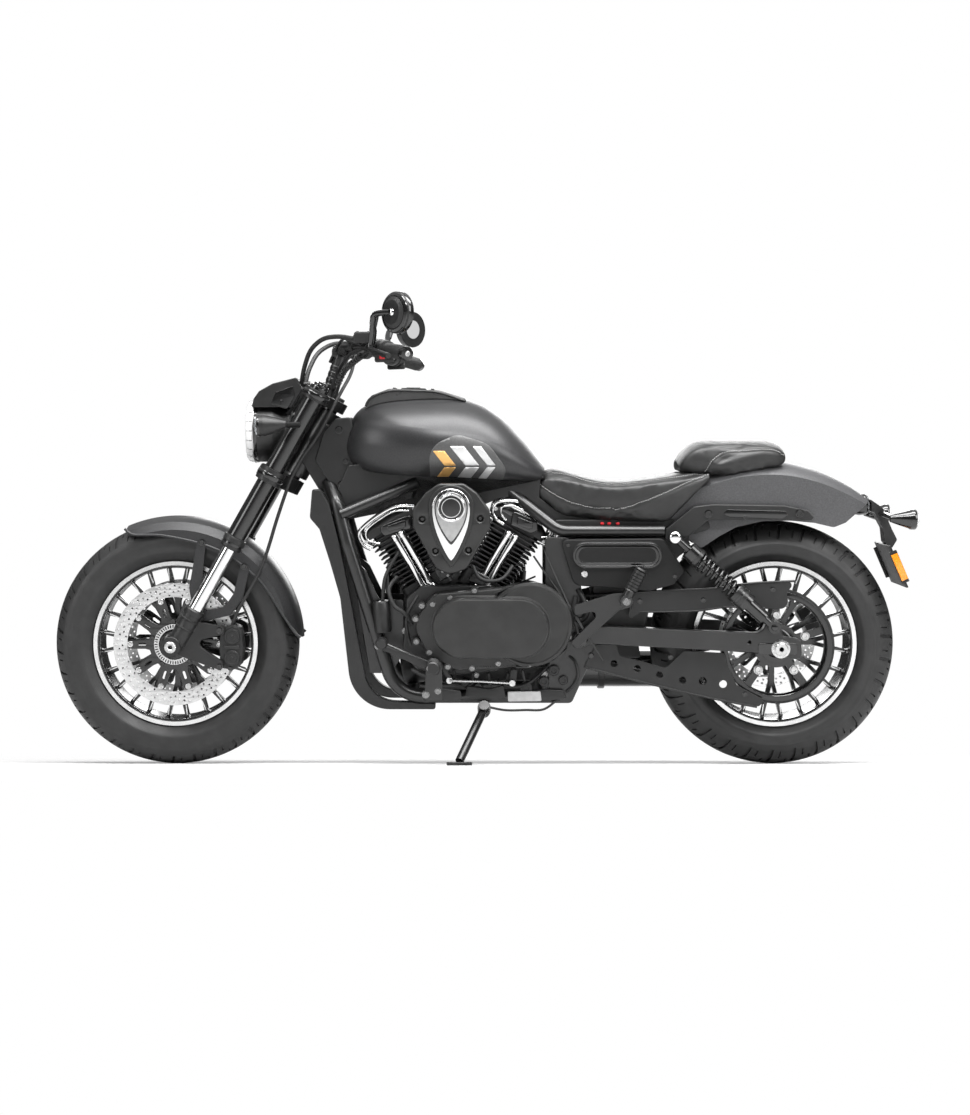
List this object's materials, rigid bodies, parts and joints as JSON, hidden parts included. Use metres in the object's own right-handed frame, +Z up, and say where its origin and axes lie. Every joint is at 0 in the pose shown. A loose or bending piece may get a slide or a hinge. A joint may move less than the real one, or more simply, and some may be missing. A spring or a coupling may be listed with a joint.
{
  "type": "cruiser motorcycle",
  "caption": "Low cruiser motorcycle with an open V-twin engine, cast wheels, twin rear shocks and belt drive, parked on its side stand.",
  "frame": {"origin": "on the ground, under the middle of the parked machine's overall box", "axes": "+X from the front wheel to the rear wheel, +Y to the machine's right, +Z up; the machine leans 9 degrees to its left, towards -Y, about X"},
  "size_m": [2.236, 0.9048, 1.2707],
  "materials": {
    "body_graphite": "matt graphite paint",
    "bright_steel": "ground steel",
    "chrome": "polished chrome",
    "cover_black": "grained black plastic",
    "engine_black": "textured black engine paint",
    "engine_cover": "satin dark grey",
    "frame_black": "satin black paint",
    "gloss_black": "gloss black plastic",
    "lens": "clear lens",
    "mirror": "mirror glass in a black shell",
    "rubber": "black rubber",
    "seat_vinyl": "black seat vinyl",
    "tyre": "black tyre rubber",
    "wheel_black": "gloss black with a bright rim edge"
  },
  "bodies": {
    "root": {"frame_neck": "frame_black", "frame_cradle": "frame_black", "frame_upper": "frame_black", "frame_pivot_plates": "frame_black", "fender_struts": "frame_black", "neck_covers": "cover_black", "spine_covers": "cover_black", "inner_guard": "cover_black", "radiator": "frame_black", "radiator_shroud": "cover_black", "fuel_tank": "body_graphite", "tank_console": "body_graphite", "rider_seat": "seat_vinyl", "pillion_seat": "seat_vinyl", "rear_fender": "body_graphite", "side_covers": "cover_black", "swingarm": "frame_black", "rear_axle": "chrome", "belt_guards": "frame_black", "drive_belt": "rubber", "shock_dampers": "wheel_black", "shock_springs": "chrome", "crankcase": "engine_black", "primary_cover": "engine_cover", "cylinders": "engine_black", "rocker_covers": "engine_cover", "pushrod_tubes": "chrome", "air_cleaner": "engine_cover", "rider_controls": "frame_black", "passenger_pegs": "frame_black", "stand_bracket": "frame_black", "exhaust": "engine_cover", "tail_bracket": "frame_black", "rear_indicators": "gloss_black", "rear_caliper": "frame_black"},
    "side_stand": {"side_stand": "frame_black"},
    "steering": {"fork_clamps": "frame_black", "fork_outer_tubes": "frame_black", "fork_stanchions": "chrome", "fork_feet": "frame_black", "front_axle": "chrome", "front_fender": "body_graphite", "front_calipers": "frame_black", "headlight_shell": "body_graphite", "headlight_lens": "lens", "front_indicators": "gloss_black", "handlebar": "frame_black", "grips": "rubber", "bar_controls": "cover_black", "mirrors": "mirror", "brake_hose": "rubber", "cable_looms": "rubber"},
    "front_wheel": {"front_tyre": "tyre", "front_rim": "wheel_black", "front_disc_bands": "bright_steel", "front_disc_carriers": "frame_black"},
    "rear_wheel": {"rear_tyre": "tyre", "rear_rim": "wheel_black", "rear_pulley": "frame_black", "rear_disc": "bright_steel"}
  },
  "joints": [
    {"name": "steering_turn", "type": "hinge", "parent": "root", "child": "steering", "pos_m": [-0.43975, 0.04911, 0.83365], "axis": [0.4909, -0.1363, 0.8605], "range_deg": [-35, 35]},
    {"name": "front_wheel_spin", "type": "hinge", "parent": "steering", "child": "front_wheel", "pos_m": [-0.7965, 0.13079, 0.31797], "axis": [0, 0.9877, 0.1564], "continuous": true},
    {"name": "rear_wheel_spin", "type": "hinge", "parent": "root", "child": "rear_wheel", "pos_m": [0.7735, 0.13079, 0.31797], "axis": [0, 0.9877, 0.1564], "continuous": true},
    {"name": "side_stand_fold", "type": "hinge", "parent": "root", "child": "side_stand", "pos_m": [0.0135, 0.01114, 0.14006], "axis": [0, -0.9001, 0.4356], "range_deg": [0, 103]}
  ]
}
